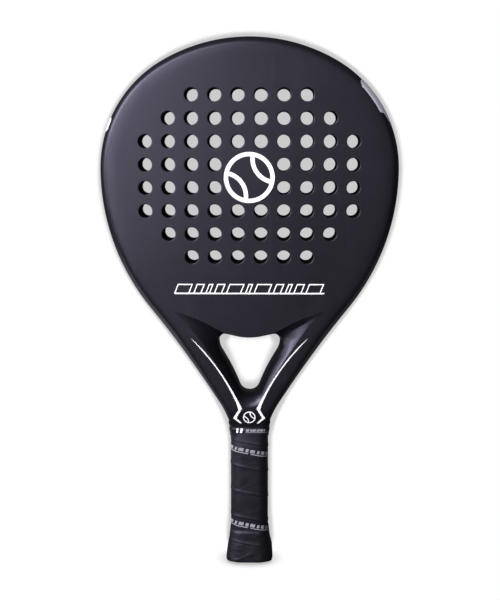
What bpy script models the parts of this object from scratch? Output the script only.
"""Padel racket: teardrop head with a drilled foam core, throat opening, wrapped handle and flared butt.

Origin at the centre of the butt end. +Z runs up the racket to the top of the head, +X is the
player's right when looking at the front face, and the front face looks towards -Y. Metres.
"""

import math

import bmesh
import bpy
from mathutils import Matrix

MM = 0.001

# Overall size: regulation length and thickness, the width follows from the outline's arcs
LENGTH = 455 * MM
DECAL_LIFT = 0.05 * MM
DECAL_THICKNESS = 0.15 * MM
HALF_DEPTH = 19 * MM - DECAL_LIFT - DECAL_THICKNESS

# Half outline from the top of the head downwards, as (radius, degrees): tangent arcs, where a
# negative radius curves inwards. The last one turns upright where the handle begins.
OUTLINE = ((147.8 * MM, 30.45), (105.2 * MM, 59.45), (190 * MM, 38.8), (-1018 * MM, 5.7), (-77 * MM, 33.0))

# Moulded tube that runs round the head and down into the handle
RIM_RADIUS = 6 * MM
TUBE_WIDTH = 12.5 * MM
TUBE_WIDTH_HANDLE = 9 * MM
TUBE_WALL = 2 * MM
TUBE_BOTTOM = 4 * MM

# Face laminates, the gap between bonded neighbours, and the wider glue line along the throat
SKIN = 1.2 * MM
GAP = 0.3 * MM
GLUE_LINE = 0.5 * MM
FLOOR = HALF_DEPTH - SKIN - GAP

# The body thins towards the handle between these two heights
SHOULDER_TOP = 136 * MM
TUBE_NARROWS_BELOW = 150 * MM
SHOULDER_BOTTOM = 118 * MM
HANDLE_HALF_DEPTH = 14.5 * MM

# Drilled holes: rows of a square grid, given as (row, outermost column, innermost column) in pitches
HOLE_PITCH = 19.56 * MM
HOLE_RADIUS = 5.7 * MM
GRID_HEIGHT = 338.15 * MM
HOLE_ROWS = (
    (3.5, 2.5, 0.5),
    (2.5, 3.5, 0.5),
    (1.5, 4.5, 0.5),
    (0.5, 4.5, 1.5),
    (-0.5, 4.5, 1.5),
    (-1.5, 4.5, 0.5),
    (-2.5, 3.5, 0.5),
    (-3.5, 2.5, 0.5),
)
HOLE_SIDES = 10

# Throat: lip of the face, then the ridge where the scooped flanks start, then the opening itself
LIP_HEIGHT = 200.8 * MM
LIP = ((-60 * MM, 30.0), (150 * MM, 13.5))
RIDGE = ((0.8 * MM, 153.0), (-170 * MM, 11.0), (-330 * MM, 10.0))
LIP_BAND = 6 * MM
OPENING_HEIGHT = 199.2 * MM
OPENING_TOP = ((-75 * MM, 15.0), (5.5 * MM, 69.0))
OPENING_SIDE = ((5.5 * MM, 36.0), (17.7 * MM, 32.5), (-175 * MM, 11.0))
SCOOP_DEPTH = 12 * MM
BRIDGE_TOP = 226 * MM
BRIDGE_BOTTOM = 128 * MM
SIDE_STEPS = 16

# Handle layers, measured outwards from the moulded handle
GRIP_THICKNESS = 1.5 * MM
GRIP_SKIVED = 0.4 * MM
GRIP_BOTTOM = 1.5 * MM
GRIP_TOP = 116 * MM
GRIP_SKIVE_START = 104 * MM
OVERGRIP_THICKNESS = 0.7 * MM
OVERGRIP_BOTTOM = 1.2 * MM
OVERGRIP_TOP = 118 * MM
LAYER_GAP = 0.2 * MM
STEP_LENGTH = 3 * MM
TAPE_THICKNESS = 0.35 * MM
TAPE_HEIGHTS = (113.5 * MM, 118.5 * MM, 124.5 * MM)

# Butt cap: wall, how far it flares sideways and in depth, and (height, share of the flare)
CAP_WALL = 0.8 * MM
FLARE_WIDTH = 3.5 * MM
FLARE_DEPTH = 1.0 * MM
CAP_PROFILE = (
    (0.0, 0.5),
    (1.2 * MM, 0.85),
    (4.0 * MM, 1.0),
    (9.0 * MM, 0.86),
    (15.5 * MM, 0.5),
    (21.0 * MM, 0.2),
    (27.0 * MM, 0.0),
)
CAP_TOP = CAP_PROFILE[-1][0]
CAP_FLOOR = TUBE_BOTTOM - GAP
CORD_HOLE_RADIUS = 3.5 * MM

# Decals
EMBLEM_HEIGHT = 337.2 * MM
EMBLEM_RADIUS = 21.5 * MM
HEART_HEIGHT = 130.6 * MM
HEART_RADIUS = 5.4 * MM
MOTIF_HEIGHT = 238 * MM
MOTIF_HALF_WIDTH = 64 * MM
MOTIF_LINE = 1.2 * MM
MOTIF_DASHES = (13 * MM, 7 * MM, 4 * MM, 7 * MM, 13 * MM, 4 * MM, 13 * MM, 7 * MM, 4 * MM, 7 * MM, 13 * MM)
MOTIF_DASH_HEIGHT = 7.6 * MM
MOTIF_SLANT = 3 * MM
MOTIF_STROKE = 1.0 * MM
STRIPE_TIP = (50.4 * MM, 200 * MM)
STRIPE_ARC = (-190 * MM, 22.6)
STRIPE_TIP_HEADING = 136
STRIPE_WIDTH = 2.7 * MM
STRIPE_SLENDER = 0.36
CHEVRON = ((9.3, 137.2), (13.9, 129.8), (8.2, 125.0), (6.3, 125.0), (11.1, 130.0), (6.2, 138.4))

# Curves are cut into straight facets that leave the true arc by at most this much
FACET_SAG = 0.18 * MM
WIDEST_FACET = math.radians(30)
CORNER_STEPS = 3


def clear_scene():
    for item in list(bpy.data.objects):
        bpy.data.objects.remove(item, do_unlink=True)


# ---------------------------------------------------------------- outlines


def arc_stations(start, heading, arcs):
    """Points (x, z, heading) along tangent arcs; heading is clockwise from +X, in radians."""
    x, z = start
    stations = [(x, z, heading)]
    for radius, degrees in arcs:
        turn = math.copysign(math.radians(degrees), radius)
        centre_x = x - radius * math.sin(heading)
        centre_z = z - radius * math.cos(heading)
        facet = min(2 * math.acos(max(1 - FACET_SAG / abs(radius), 0)), WIDEST_FACET)
        steps = max(1, math.ceil(abs(turn) / facet))
        for step in range(1, steps + 1):
            angle = heading + turn * step / steps
            x = centre_x + radius * math.sin(angle)
            z = centre_z + radius * math.cos(angle)
            stations.append((x, z, angle))
        heading += turn
    return stations


def closing_arc(station):
    """The arc that brings a half outline from this station back to the axis, heading -X."""
    x, _, heading = station
    return (x / math.sin(heading), 180 - math.degrees(heading))


def offset(stations, distance):
    """The stations' points moved outwards, to the left of their heading."""
    return [(x + distance * math.sin(h), z + distance * math.cos(h)) for x, z, h in stations]


def outline_stations():
    """Right half of the outline, from the top of the head to the end of the tube."""
    stations = arc_stations((0, LENGTH), 0, OUTLINE)
    x, _, heading = stations[-1]
    return stations + [(x, TUBE_BOTTOM, heading)]


def outline_half_width(z):
    """Half width of the outline at a height on the neck or the handle."""
    half = outline_stations()
    for (x0, z0, _), (x1, z1, _) in zip(half, half[1:]):
        if z1 <= z <= z0 and z0 > z1:
            return x1 + (x0 - x1) * (z - z1) / (z0 - z1)
    return half[-1][0]


def tube_width(z):
    """Width of the tube: full in the head and arms, narrower once inside the handle."""
    share = (z - SHOULDER_BOTTOM) / (TUBE_NARROWS_BELOW - SHOULDER_BOTTOM)
    share = min(max(share, 0), 1)
    return TUBE_WIDTH_HANDLE + (TUBE_WIDTH - TUBE_WIDTH_HANDLE) * share


def tube_inside(stations, clearance):
    """Inner side of the tube, moved a further clearance away from it."""
    points = []
    for station in stations:
        inset = tube_width(station[1]) + clearance
        points += offset([station], -inset)
    return points


def scoop_stations():
    """Right half of the scooped throat: lip of the face, tip of the arm, ridge, and back to the axis."""
    stations = arc_stations((0, LIP_HEIGHT), 0, LIP + RIDGE)
    x, z, heading = stations[-1]
    return stations[:-1] + arc_stations((x, z), heading, (closing_arc(stations[-1]),))


def mirrored(half):
    """A closed outline from its right half, which starts and ends on or beside the axis."""
    left = [(-x, z) for x, z in reversed(half) if x > 1e-7]
    return half + left


def resample(points, steps):
    """The polyline's points, spaced evenly along it."""
    lengths = [0.0]
    for (x0, z0), (x1, z1) in zip(points, points[1:]):
        lengths.append(lengths[-1] + math.hypot(x1 - x0, z1 - z0))
    result = []
    place = 0
    for step in range(steps + 1):
        target = lengths[-1] * step / steps
        while place < len(points) - 2 and lengths[place + 1] < target:
            place += 1
        share = (target - lengths[place]) / (lengths[place + 1] - lengths[place])
        (x0, z0), (x1, z1) = points[place], points[place + 1]
        result.append((x0 + (x1 - x0) * share, z0 + (z1 - z0) * share))
    return result


def circle(centre_x, centre_z, radius, sides, start=0.0, sweep=2 * math.pi, closed=True):
    count = sides if closed else sides + 1
    angles = [start + sweep * step / sides for step in range(count)]
    return [(centre_x + radius * math.cos(a), centre_z + radius * math.sin(a)) for a in angles]


def hole_centres():
    centres = []
    for row, outermost, innermost in HOLE_ROWS:
        columns = int(outermost - innermost) + 1
        for step in range(columns):
            column = innermost + step
            for side in (-1, 1):
                centres.append((side * column * HOLE_PITCH, GRID_HEIGHT + row * HOLE_PITCH))
    return centres


def drilled_holes():
    return [circle(x, z, HOLE_RADIUS, HOLE_SIDES) for x, z in hole_centres()]


# ---------------------------------------------------------------- meshes


def plate_mesh(loops, y_front, y_back):
    """A flat plate in the XZ plane; the first loop is its edge and the others are holes in it."""
    curve = bpy.data.curves.new("plate", "CURVE")
    curve.dimensions = "2D"
    curve.fill_mode = "BOTH"
    curve.extrude = (y_back - y_front) / 2
    for loop in loops:
        spline = curve.splines.new("POLY")
        spline.points.add(len(loop) - 1)
        for point, (x, z) in zip(spline.points, loop):
            point.co = (x, z, 0, 1)
        spline.use_cyclic_u = True
    helper = bpy.data.objects.new("plate", curve)
    bpy.context.scene.collection.objects.link(helper)
    graph = bpy.context.evaluated_depsgraph_get()
    mesh = bpy.data.meshes.new_from_object(helper.evaluated_get(graph))
    bpy.data.objects.remove(helper, do_unlink=True)
    upright = Matrix.Translation((0, (y_front + y_back) / 2, 0)) @ Matrix.Rotation(math.pi / 2, 4, "X")
    mesh.transform(upright)
    plate = bmesh.new()
    plate.from_mesh(mesh)
    bmesh.ops.remove_doubles(plate, verts=plate.verts, dist=1e-6)
    bpy.data.meshes.remove(mesh)
    return plate


def lofted_mesh(sections, joined_ends):
    """Skin over equal rings of points; joined_ends makes the last section meet the first."""
    loft = bmesh.new()
    rings = [[loft.verts.new(point) for point in section] for section in sections]
    pairs = list(zip(rings, rings[1:]))
    if joined_ends:
        pairs.append((rings[-1], rings[0]))
    for ring, following in pairs:
        for index in range(len(ring)):
            after = (index + 1) % len(ring)
            loft.faces.new((ring[index], ring[after], following[after], following[index]))
    return loft


def thin_towards_handle(body):
    """Scale the depth below the shoulder, so that the arms run into the slimmer handle."""
    for height in (SHOULDER_TOP, SHOULDER_BOTTOM):
        everything = body.verts[:] + body.edges[:] + body.faces[:]
        bmesh.ops.bisect_plane(body, geom=everything, dist=1e-7, plane_co=(0, 0, height), plane_no=(0, 0, 1))
    for vert in body.verts:
        vert.co.y *= depth_share(vert.co.z)


def depth_share(z):
    slim = HANDLE_HALF_DEPTH / HALF_DEPTH
    share = (z - SHOULDER_BOTTOM) / (SHOULDER_TOP - SHOULDER_BOTTOM)
    return slim + (1 - slim) * min(max(share, 0), 1)


def material(name, colour, roughness, metallic=0.0):
    made = bpy.data.materials.new(name)
    made.use_nodes = True
    shader = made.node_tree.nodes["Principled BSDF"]
    shader.inputs["Base Color"].default_value = (*colour, 1)
    shader.inputs["Roughness"].default_value = roughness
    shader.inputs["Metallic"].default_value = metallic
    return made


def add_part(name, body, finish, parent):
    """Turn a bmesh into a named object under the racket's empty."""
    bmesh.ops.recalc_face_normals(body, faces=body.faces)
    mesh = bpy.data.meshes.new(name)
    body.to_mesh(mesh)
    body.free()
    mesh.shade_smooth()
    mesh.set_sharp_from_angle(angle=math.radians(25))
    mesh.materials.append(material(name, *finish))
    part = bpy.data.objects.new(name, mesh)
    part.parent = parent
    bpy.context.scene.collection.objects.link(part)
    return part


def add_rear_copy(name, front, finish, parent):
    """The same part on the rear face: its mesh turned half a turn about the racket's axis."""
    part = bpy.data.objects.new(name, front.data)
    part.parent = parent
    part.rotation_euler = (0, 0, math.pi)
    part.material_slots[0].link = "OBJECT"
    part.material_slots[0].material = material(name, *finish)
    bpy.context.scene.collection.objects.link(part)
    return part


# ---------------------------------------------------------------- head and throat


def rim_profile(clearance=0.0):
    """Rounded outer side of the rim as (inset, depth), from the front face round to the rear face."""
    quarter = []
    for step in range(CORNER_STEPS + 1):
        angle = math.radians(90) * step / CORNER_STEPS
        inset = RIM_RADIUS - (RIM_RADIUS + clearance) * math.sin(angle)
        depth = HALF_DEPTH - RIM_RADIUS + (RIM_RADIUS + clearance) * math.cos(angle)
        quarter.append((inset, -depth))
    return quarter + [(inset, -depth) for inset, depth in reversed(quarter)]


def tube_section(width):
    """Outer and inner loop of the tube's cross-section, as (inset, depth)."""
    outer = rim_profile() + [(RIM_RADIUS, FLOOR), (width, FLOOR), (width, -FLOOR), (RIM_RADIUS, -FLOOR)]
    ceiling = FLOOR - TUBE_WALL
    bevel = 2 * MM
    near = TUBE_WALL
    far = width - TUBE_WALL
    top = [(near, 3 * bevel - ceiling), (near + bevel, -ceiling), (far - bevel / 2, -ceiling), (far, bevel / 2 - ceiling)]
    inner = top + [(inset, -depth) for inset, depth in reversed(top)]
    return outer, inner


def placed_section(station, section):
    """A cross-section of (inset, depth) points set square to the outline at a station."""
    return [(*offset([station], -inset)[0], depth) for inset, depth in section]


def frame_tube():
    half = outline_stations()
    left = [(-x, z, -heading) for x, z, heading in reversed(half[1:])]
    tube = bmesh.new()
    loops = ([], [])
    for station in left + half:
        for loop, section in zip(loops, tube_section(tube_width(station[1]))):
            loop.append([tube.verts.new((x, depth, z)) for x, z, depth in placed_section(station, section)])
    for loop in loops:
        for ring, following in zip(loop, loop[1:]):
            for index in range(len(ring)):
                after = (index + 1) % len(ring)
                tube.faces.new((ring[index], ring[after], following[after], following[index]))
    for end in (0, -1):
        rim = []
        for loop in loops:
            ring = loop[end]
            rim += [tube.edges.get((ring[index - 1], ring[index])) for index in range(len(ring))]
        bmesh.ops.bridge_loops(tube, edges=rim)
    thin_towards_handle(tube)
    return tube


def bridge_top_curve(clearance=0.0):
    """Right half of the seam between the bridge and the core, from the axis to the arm."""
    lip = arc_stations((0, LIP_HEIGHT), 0, LIP)
    return offset(lip, LIP_BAND + clearance)


def arm_side(clearance, lowest, highest):
    """The tube's inner side between two heights, top to bottom."""
    line = tube_inside(outline_stations(), clearance)
    kept = []
    for (x0, z0), (x1, z1) in zip(line, line[1:]):
        for height in (highest, lowest):
            if z1 < height < z0:
                kept.append((x1 + (x0 - x1) * (height - z1) / (z0 - z1), height))
        if lowest < z1 < highest:
            kept.append((x1, z1))
    return sorted(kept, key=lambda point: -point[1])


def throat_bridge():
    """Closed ring of cross-sections round the opening, scooped on both faces."""
    scoop = scoop_stations()
    tip = len(arc_stations((0, LIP_HEIGHT), 0, LIP)) + 2
    upper_steps = len(arc_stations((0, LIP_HEIGHT), 0, LIP)) - 1
    lip = offset(scoop[: upper_steps + 1], 0)
    ridge = offset(scoop[tip - 1 :], 0)
    seam = bridge_top_curve()
    arm = arm_side(GLUE_LINE, BRIDGE_BOTTOM, BRIDGE_TOP) + [(0, BRIDGE_BOTTOM)]
    opening = arc_stations((0, OPENING_HEIGHT), 0, OPENING_TOP)
    corner = opening[-1]
    side = arc_stations(corner[:2], corner[2], OPENING_SIDE)
    side += arc_stations(side[-1][:2], side[-1][2], (closing_arc(side[-1]),))[1:]
    edges = (
        resample(seam, upper_steps) + resample(arm, SIDE_STEPS),
        resample(lip, upper_steps) + resample(ridge, SIDE_STEPS),
        resample(offset(opening, 0), upper_steps) + resample(offset(side, 0), SIDE_STEPS),
    )
    sections = []
    for seam_point, ridge_point, edge_point in zip(*edges):
        front = [(*seam_point, FLOOR), (*ridge_point, FLOOR), (*ridge_point, HALF_DEPTH)]
        for share in (1 / 3, 2 / 3, 1):
            x = ridge_point[0] + (edge_point[0] - ridge_point[0]) * share
            z = ridge_point[1] + (edge_point[1] - ridge_point[1]) * share
            front.append((x, z, HALF_DEPTH - SCOOP_DEPTH * math.sin(share * math.pi / 2)))
        section = [(x, -depth, z) for x, z, depth in front]
        section += [(x, depth, z) for x, z, depth in reversed(front)]
        sections.append(section)
    left = [[(-x, y, z) for x, y, z in section] for section in reversed(sections[1:-1])]
    bridge = lofted_mesh(sections + left, joined_ends=True)
    thin_towards_handle(bridge)
    return bridge


def eva_core():
    """Foam that fills the head between the two faces."""
    half = [(0, LENGTH - TUBE_WIDTH - GAP)] + arm_side(GAP, BRIDGE_TOP + LIP_BAND, LENGTH)
    half += reversed(bridge_top_curve(GLUE_LINE))
    return plate_mesh([mirrored(half)] + drilled_holes(), -FLOOR, FLOOR)


def front_face():
    """Laminate over the head, the arms and the handle, cut away round the scooped throat."""
    edge = offset(outline_stations(), -RIM_RADIUS - GAP)
    throat = mirrored(offset(scoop_stations(), GAP))
    skin = plate_mesh([mirrored(edge), throat] + drilled_holes(), -HALF_DEPTH, SKIN - HALF_DEPTH)
    thin_towards_handle(skin)
    return skin


# ---------------------------------------------------------------- handle


def handle_foam():
    """Foam insert between the tube's two legs."""
    side = arm_side(GAP, TUBE_BOTTOM, BRIDGE_BOTTOM - GAP)
    half = [(0, BRIDGE_BOTTOM - GAP)] + side + [(side[-1][0], TUBE_BOTTOM), (0, TUBE_BOTTOM)]
    foam = plate_mesh([mirrored(half)], -FLOOR, FLOOR)
    thin_towards_handle(foam)
    return foam


def handle_ring(z, outward, flare=0.0):
    """Rounded rectangle round the handle at a height, a distance outside its surface or its flare."""
    wider = outward + flare * FLARE_WIDTH
    deeper = outward + flare * FLARE_DEPTH
    half_width = outline_half_width(z) + wider
    half_depth = HALF_DEPTH * depth_share(z) + deeper
    radius_x = RIM_RADIUS + wider
    radius_y = RIM_RADIUS * depth_share(z) + deeper
    ring = []
    for quarter in range(4):
        for step in range(CORNER_STEPS + 1):
            angle = math.radians(90) * (quarter + step / CORNER_STEPS)
            side_x = 1 if quarter in (0, 3) else -1
            side_y = 1 if quarter in (0, 1) else -1
            x = side_x * (half_width - radius_x) + radius_x * math.cos(angle)
            y = side_y * (half_depth - radius_y) + radius_y * math.sin(angle)
            ring.append((x, y, z))
    return ring


def cap_flare(z):
    """Share of the butt's flare at a height, and 0 above the cap."""
    for (z0, share0), (z1, share1) in zip(CAP_PROFILE, CAP_PROFILE[1:]):
        if z0 <= z <= z1:
            return share0 + (share1 - share0) * (z - z0) / (z1 - z0)
    return 0.0


def butt_cap():
    """Flared plastic cap over the end of the handle, with a hole for the wrist cord."""
    hole = []
    for x, y, _ in handle_ring(0, 0):
        angle = math.atan2(y, x)
        hole.append((CORD_HOLE_RADIUS * math.cos(angle), CORD_HOLE_RADIUS * math.sin(angle)))
    sections = [[(x, y, CAP_FLOOR) for x, y in hole], [(x, y, 0) for x, y in hole]]
    sections += [handle_ring(z, CAP_WALL, flare) for z, flare in CAP_PROFILE]
    sections += [handle_ring(CAP_TOP, GAP), handle_ring(CAP_FLOOR, GAP)]
    return lofted_mesh(sections, joined_ends=True)


def sleeve_heights(bottom, top):
    heights = [z for z, _ in CAP_PROFILE if z > bottom]
    return [bottom] + heights + [CAP_TOP + STEP_LENGTH, GRIP_SKIVE_START, TAPE_HEIGHTS[0], top]


def grip_thickness(z):
    """The cushion grip thins out towards its upper end."""
    share = min(max((z - GRIP_SKIVE_START) / (GRIP_TOP - GRIP_SKIVE_START), 0), 1)
    return GRIP_THICKNESS + (GRIP_SKIVED - GRIP_THICKNESS) * share


def sleeve(heights, inner, thickness):
    """Closed sleeve round the handle; inner and thickness give its offset and wall at a height."""
    sections = [handle_ring(z, inner(z), cap_flare(z)) for z in heights]
    sections += [handle_ring(z, inner(z) + thickness(z), cap_flare(z)) for z in reversed(heights)]
    return lofted_mesh(sections, joined_ends=True)


def grip_inner(z):
    """Clear of the handle, and of the cap's wall where there is one."""
    return GAP + (CAP_WALL if z <= CAP_TOP else 0.0)


def overgrip_inner(z):
    return grip_inner(z) + grip_thickness(z) + LAYER_GAP


def overgrip_thickness(z):
    share = min(max((z - GRIP_SKIVE_START) / (OVERGRIP_TOP - GRIP_SKIVE_START), 0), 1)
    return OVERGRIP_THICKNESS * (1 - share / 2)


def base_grip():
    return sleeve(sleeve_heights(GRIP_BOTTOM, GRIP_TOP), grip_inner, grip_thickness)


def overgrip():
    return sleeve(sleeve_heights(OVERGRIP_BOTTOM, OVERGRIP_TOP), overgrip_inner, overgrip_thickness)


def finishing_tape():
    """Band that holds the overgrip's upper end down on the neck."""

    def tape_inner(z):
        if z > OVERGRIP_TOP + MM:
            return GAP
        return overgrip_inner(min(z, OVERGRIP_TOP)) + overgrip_thickness(z) + LAYER_GAP

    return sleeve(TAPE_HEIGHTS, tape_inner, lambda z: TAPE_THICKNESS)


# ---------------------------------------------------------------- decals


def decal_plate(loops):
    front = -HALF_DEPTH - DECAL_LIFT - DECAL_THICKNESS
    return plate_mesh(loops, front, front + DECAL_THICKNESS)


def ball_loops(centre_z, radius, sides=32):
    """A ball: a ring with two seams curving in from its left and right, as an edge and three openings."""
    stroke = 0.17 * radius
    inner = radius - stroke
    seam_centre = 1.28 * radius
    seam_radius = 0.92 * radius
    tilt = math.radians(35)

    def crossing(cut):
        """Angles, about the ball and about the seam, where a seam edge meets the ring's inside."""
        x = (seam_centre**2 + inner**2 - cut**2) / (2 * seam_centre)
        z = math.sqrt(inner**2 - x**2)
        return math.atan2(z, x), math.atan2(z, seam_centre - x)

    near, near_seam = crossing(seam_radius - stroke / 2)
    far, far_seam = crossing(seam_radius + stroke / 2)
    cap = circle(0, 0, inner, 8, -near, 2 * near, False)
    cap += circle(seam_centre, 0, seam_radius - stroke / 2, 8, math.pi - near_seam, 2 * near_seam, False)[1:-1]
    middle = circle(0, 0, inner, 8, far, math.pi - 2 * far, False)
    middle += circle(-seam_centre, 0, seam_radius + stroke / 2, 8, far_seam, -2 * far_seam, False)[1:-1]
    middle += circle(0, 0, inner, 8, math.pi + far, math.pi - 2 * far, False)
    middle += circle(seam_centre, 0, seam_radius + stroke / 2, 8, math.pi + far_seam, -2 * far_seam, False)[1:-1]
    loops = [circle(0, 0, radius, sides), cap, [(-x, -z) for x, z in cap], middle]
    turned = []
    for loop in loops:
        spun = [(x * math.cos(tilt) - z * math.sin(tilt), x * math.sin(tilt) + z * math.cos(tilt)) for x, z in loop]
        turned.append([(x, z + centre_z) for x, z in spun])
    return turned


def front_emblem():
    return decal_plate(ball_loops(EMBLEM_HEIGHT, EMBLEM_RADIUS))


def front_heart_emblem():
    emblem = decal_plate(ball_loops(HEART_HEIGHT, HEART_RADIUS, 20))
    thin_towards_handle(emblem)
    return emblem


def front_dash_motif():
    """Hollow slanted blocks of three lengths standing on one line."""
    low = MOTIF_HEIGHT
    line = low + MOTIF_LINE
    high = line + MOTIF_DASH_HEIGHT
    under = high - MOTIF_STROKE
    lean = MOTIF_SLANT * (under - line) / (high - line)
    space = (2 * MOTIF_HALF_WIDTH - MOTIF_SLANT - sum(MOTIF_DASHES)) / (len(MOTIF_DASHES) - 1)
    loop = [(MOTIF_HALF_WIDTH, low), (-MOTIF_HALF_WIDTH, low), (-MOTIF_HALF_WIDTH, line)]
    openings = []
    x = -MOTIF_HALF_WIDTH
    for index, width in enumerate(MOTIF_DASHES):
        if index:
            loop.append((x, line))
        loop += [(x + MOTIF_SLANT, high), (x + MOTIF_SLANT + width, high), (x + width, line)]
        left, right = x + MOTIF_STROKE, x + width - MOTIF_STROKE
        openings.append([(left, line), (right, line), (right + lean, under), (left + lean, under)])
        x += width + space
    loop.append((MOTIF_HALF_WIDTH, line))
    return decal_plate([loop] + openings)


def front_stripe(side):
    """Slender stripe down an arm that widens into a chevron beside the heart emblem."""
    middle = arc_stations(STRIPE_TIP, math.radians(STRIPE_TIP_HEADING), (STRIPE_ARC,))[:-1]
    outer = []
    inner = []
    for index, station in enumerate(middle):
        share = index / len(middle)
        half = STRIPE_WIDTH / 2 * min(1, 5 * share) ** 0.7 * (STRIPE_SLENDER + (1 - STRIPE_SLENDER) * share**5)
        outer += offset([station], half)
        inner += offset([station], -half)
    chevron = [(x * MM, z * MM) for x, z in CHEVRON]
    loop = outer + chevron + inner[:0:-1]
    stripe = decal_plate([[(side * x, z) for x, z in loop]])
    thin_towards_handle(stripe)
    return stripe


def rim_decal(side, highest, lowest):
    """Strip wrapped round the rim's outer side between two heights."""
    under = rim_profile(DECAL_LIFT)[1:-1]
    over = rim_profile(DECAL_LIFT + DECAL_THICKNESS)[1:-1]
    section = under + over[::-1]
    strip = bmesh.new()
    rings = []
    for station in outline_stations():
        if lowest <= station[1] <= highest:
            points = placed_section(station, section)
            rings.append([strip.verts.new((side * x, depth, z)) for x, z, depth in points])
    for ring, following in zip(rings, rings[1:]):
        for index in range(len(ring)):
            after = (index + 1) % len(ring)
            strip.faces.new((ring[index], ring[after], following[after], following[index]))
    strip.faces.new(rings[0])
    strip.faces.new(rings[-1])
    return strip


# ---------------------------------------------------------------- assembly

LACQUER = ((0.030, 0.028, 0.036), 0.42)
GLOSS_LACQUER = ((0.012, 0.011, 0.015), 0.22)
FOAM = ((0.020, 0.020, 0.022), 0.85)
FILLER = ((0.55, 0.48, 0.33), 0.9)
CAP_PLASTIC = ((0.015, 0.015, 0.017), 0.45)
CUSHION = ((0.030, 0.030, 0.032), 0.8)
WRAP = ((0.018, 0.017, 0.020), 0.5)
TAPE = ((0.025, 0.024, 0.030), 0.35)
WHITE = ((0.90, 0.91, 0.93), 0.3)
SILVER = ((0.55, 0.55, 0.60), 0.3)


def build():
    clear_scene()
    racket = bpy.data.objects.new("padel_racket", None)
    bpy.context.scene.collection.objects.link(racket)
    add_part("frame_tube", frame_tube(), LACQUER, racket)
    add_part("throat_bridge", throat_bridge(), GLOSS_LACQUER, racket)
    add_part("eva_core", eva_core(), FOAM, racket)
    face = add_part("front_face", front_face(), LACQUER, racket)
    add_rear_copy("rear_face", face, LACQUER, racket)
    add_part("handle_foam", handle_foam(), FILLER, racket)
    add_part("butt_cap", butt_cap(), CAP_PLASTIC, racket)
    add_part("base_grip", base_grip(), CUSHION, racket)
    add_part("overgrip", overgrip(), WRAP, racket)
    add_part("finishing_tape", finishing_tape(), TAPE, racket)
    decals = {
        "emblem": front_emblem(),
        "dash_motif": front_dash_motif(),
        "stripe_left": front_stripe(-1),
        "stripe_right": front_stripe(1),
        "heart_emblem": front_heart_emblem(),
    }
    for name, body in decals.items():
        decal = add_part("front_" + name, body, WHITE, racket)
        add_rear_copy("rear_" + name, decal, WHITE, racket)
    add_part("rim_decal_right", rim_decal(1, 421 * MM, 392 * MM), SILVER, racket)
    add_part("rim_decal_left", rim_decal(-1, 392 * MM, 372 * MM), WHITE, racket)


build()
